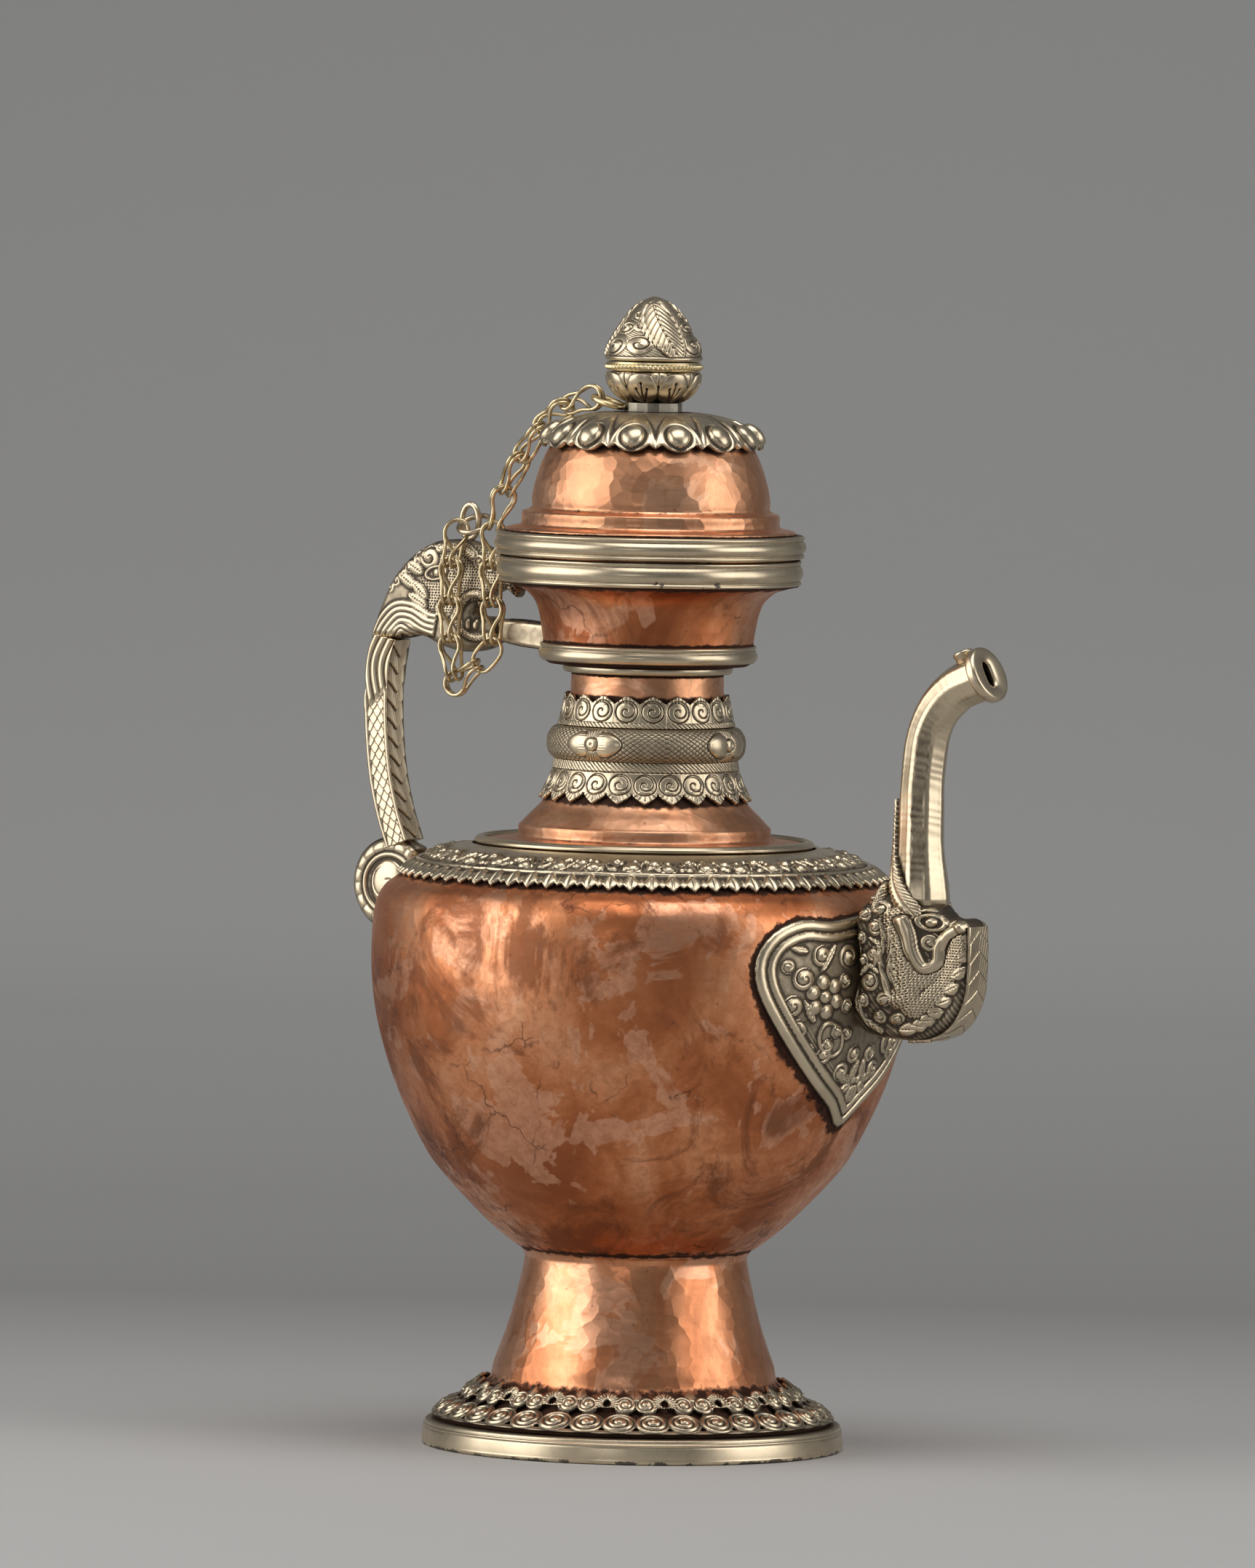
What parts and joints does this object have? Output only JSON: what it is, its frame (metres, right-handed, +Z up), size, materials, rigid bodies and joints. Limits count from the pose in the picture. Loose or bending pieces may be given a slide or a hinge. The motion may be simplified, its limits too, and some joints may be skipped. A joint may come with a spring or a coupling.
{
  "type": "tibetan ewer",
  "caption": "Hammered copper ewer with worked pale metal mounts, a curved spout, a bar handle, a domed lid and a folded wire chain from the finial to the handle.",
  "frame": {"origin": "middle of the bounding box in plan, on the plane that the foot rests on; the turning axis of the body lies 12.12 mm behind it, towards the handle", "axes": "+Z up along the body's turning axis, +X towards the spout, -X towards the handle, the chain hangs on the -Y side"},
  "size_m": [0.271, 0.1932, 0.4113],
  "materials": {
    "copper_sheet": "hammered and polished copper sheet with brown patina",
    "pale_metal": "worked nickel silver, dark in its recesses",
    "gilt_metal": "worn gilding",
    "chain_wire": "drawn brass wire, dulled",
    "dark_steel": "plain turned washer"
  },
  "bodies": {
    "vessel": {"foot_rim_band": "pale_metal", "foot_cone": "copper_sheet", "foot_scroll_collar": "pale_metal", "body_bowl": "copper_sheet", "body_shoulder": "copper_sheet", "shoulder_collar": "pale_metal", "shoulder_ring": "pale_metal", "neck_cone": "copper_sheet", "neck_tube": "copper_sheet", "neck_lower_collar": "pale_metal", "neck_knop": "pale_metal", "neck_upper_collar": "pale_metal", "cup_under_ring": "pale_metal", "mouth_cup": "copper_sheet", "cup_base_band": "pale_metal", "mouth_rim_band": "pale_metal", "handle_grip": "pale_metal", "handle_head": "pale_metal", "handle_tongue": "pale_metal", "handle_volute": "pale_metal", "handle_eye": "pale_metal", "spout_plate": "pale_metal", "spout_head": "pale_metal", "spout_tube": "pale_metal", "spout_tip_ring": "pale_metal", "spout_tip_boss": "pale_metal"},
    "swivel": {"finial_washer": "dark_steel", "finial_eye": "gilt_metal"},
    "lid": {"lid_rim_band": "pale_metal", "lid_dome": "copper_sheet", "lid_spigot": "copper_sheet", "lid_petal_collar": "pale_metal", "finial_pin": "copper_sheet", "finial_lotus": "pale_metal", "finial_cord_band": "gilt_metal", "finial_bud": "pale_metal"},
    "link_01": {"chain_link_01": "chain_wire"},
    "link_02": {"chain_link_02": "chain_wire"},
    "link_03": {"chain_link_03": "chain_wire"},
    "link_04": {"chain_link_04": "chain_wire"},
    "link_05": {"chain_link_05": "chain_wire"},
    "link_06": {"chain_link_06": "chain_wire"},
    "link_07": {"chain_link_07": "chain_wire"},
    "link_08": {"chain_link_08": "chain_wire"},
    "joining_link": {"chain_joining_link": "chain_wire"},
    "ring": {"handle_ring": "pale_metal"},
    "link_09": {"chain_link_09": "chain_wire"},
    "link_10": {"chain_link_10": "chain_wire"},
    "link_11": {"chain_link_11": "chain_wire"},
    "link_12": {"chain_link_12": "chain_wire"},
    "link_13": {"chain_link_13": "chain_wire"}
  },
  "joints": [
    {"name": "lid_lift", "type": "slide", "parent": "vessel", "child": "swivel", "axis": [0, 0, 1], "range_m": [0, 0.009]},
    {"name": "lid_turn", "type": "hinge", "parent": "swivel", "child": "lid", "pos_m": [-0.01212, 0, 0.372], "axis": [0, 0, 1], "continuous": true},
    {"name": "link_01_swing", "type": "hinge", "parent": "swivel", "child": "link_01", "pos_m": [-0.03052, 0, 0.3751], "axis": [0, -1, 0], "range_deg": [-1, 2]},
    {"name": "link_02_swing", "type": "hinge", "parent": "link_01", "child": "link_02", "pos_m": [-0.04201, 0, 0.37153], "axis": [0, -1, 0], "range_deg": [-3, 1]},
    {"name": "link_03_swing", "type": "hinge", "parent": "link_02", "child": "link_03", "pos_m": [-0.05239, 0, 0.3642], "axis": [0, -1, 0], "range_deg": [-1, 3]},
    {"name": "link_04_swing", "type": "hinge", "parent": "link_03", "child": "link_04", "pos_m": [-0.06094, 0, 0.35321], "axis": [0, -1, 0], "range_deg": [-3, 1]},
    {"name": "link_05_swing", "type": "hinge", "parent": "link_04", "child": "link_05", "pos_m": [-0.06786, 0, 0.33996], "axis": [0, -1, 0], "range_deg": [-1, 3]},
    {"name": "link_06_swing", "type": "hinge", "parent": "link_05", "child": "link_06", "pos_m": [-0.07258, 0, 0.32533], "axis": [0, -1, 0], "range_deg": [-5, 1]},
    {"name": "link_07_swing", "type": "hinge", "parent": "link_06", "child": "link_07", "pos_m": [-0.0734, 0, 0.31091], "axis": [0, -1, 0], "range_deg": [-18, 1]},
    {"name": "link_08_swing", "type": "hinge", "parent": "link_07", "child": "link_08", "pos_m": [-0.07237, 0, 0.29725], "axis": [0, -1, 0], "range_deg": [-1, 6]},
    {"name": "joining_link_swing", "type": "hinge", "parent": "link_08", "child": "joining_link", "pos_m": [-0.0725, 0, 0.28289], "axis": [0, -1, 0], "range_deg": [-1, 56]},
    {"name": "ring_swing", "type": "hinge", "parent": "vessel", "child": "ring", "pos_m": [-0.09072, 0, 0.3289], "axis": [0, -1, 0], "range_deg": [-1, 3]},
    {"name": "link_09_swing", "type": "hinge", "parent": "ring", "child": "link_09", "pos_m": [-0.09022, 0, 0.3259], "axis": [0, -1, 0], "range_deg": [-40, 1]},
    {"name": "link_10_swing", "type": "hinge", "parent": "link_09", "child": "link_10", "pos_m": [-0.09074, 0, 0.31101], "axis": [0, -1, 0], "range_deg": [-1, 43]},
    {"name": "link_11_swing", "type": "hinge", "parent": "link_10", "child": "link_11", "pos_m": [-0.09095, 0, 0.29731], "axis": [0, -1, 0], "range_deg": [-1, 5]},
    {"name": "link_12_swing", "type": "hinge", "parent": "link_11", "child": "link_12", "pos_m": [-0.0904, 0, 0.28362], "axis": [0, -1, 0], "range_deg": [-1, 8]},
    {"name": "link_13_swing", "type": "hinge", "parent": "link_12", "child": "link_13", "pos_m": [-0.08771, 0, 0.27019], "axis": [0, -1, 0], "range_deg": [-1, 7]}
  ],
  "couplings": [
    {"joint": "link_01_swing", "follows": "lid_lift", "rad_per_m": 1.9393},
    {"joint": "link_02_swing", "follows": "lid_lift", "rad_per_m": -2.9089},
    {"joint": "link_03_swing", "follows": "lid_lift", "rad_per_m": 2.9089},
    {"joint": "link_04_swing", "follows": "lid_lift", "rad_per_m": -2.9089},
    {"joint": "link_05_swing", "follows": "lid_lift", "rad_per_m": 2.9089},
    {"joint": "link_06_swing", "follows": "lid_lift", "rad_per_m": -7.9614},
    {"joint": "link_07_swing", "follows": "lid_lift", "rad_per_m": -33.614},
    {"joint": "link_08_swing", "follows": "lid_lift", "rad_per_m": 9.2964},
    {"joint": "joining_link_swing", "follows": "lid_lift", "rad_per_m": 107.23},
    {"joint": "ring_swing", "follows": "lid_lift", "rad_per_m": 3.8785},
    {"joint": "link_09_swing", "follows": "lid_lift", "rad_per_m": -75.118},
    {"joint": "link_10_swing", "follows": "lid_lift", "rad_per_m": 81.33},
    {"joint": "link_11_swing", "follows": "lid_lift", "rad_per_m": 7.3275},
    {"joint": "link_12_swing", "follows": "lid_lift", "rad_per_m": 12.626},
    {"joint": "link_13_swing", "follows": "lid_lift", "rad_per_m": 11.711}
  ]
}
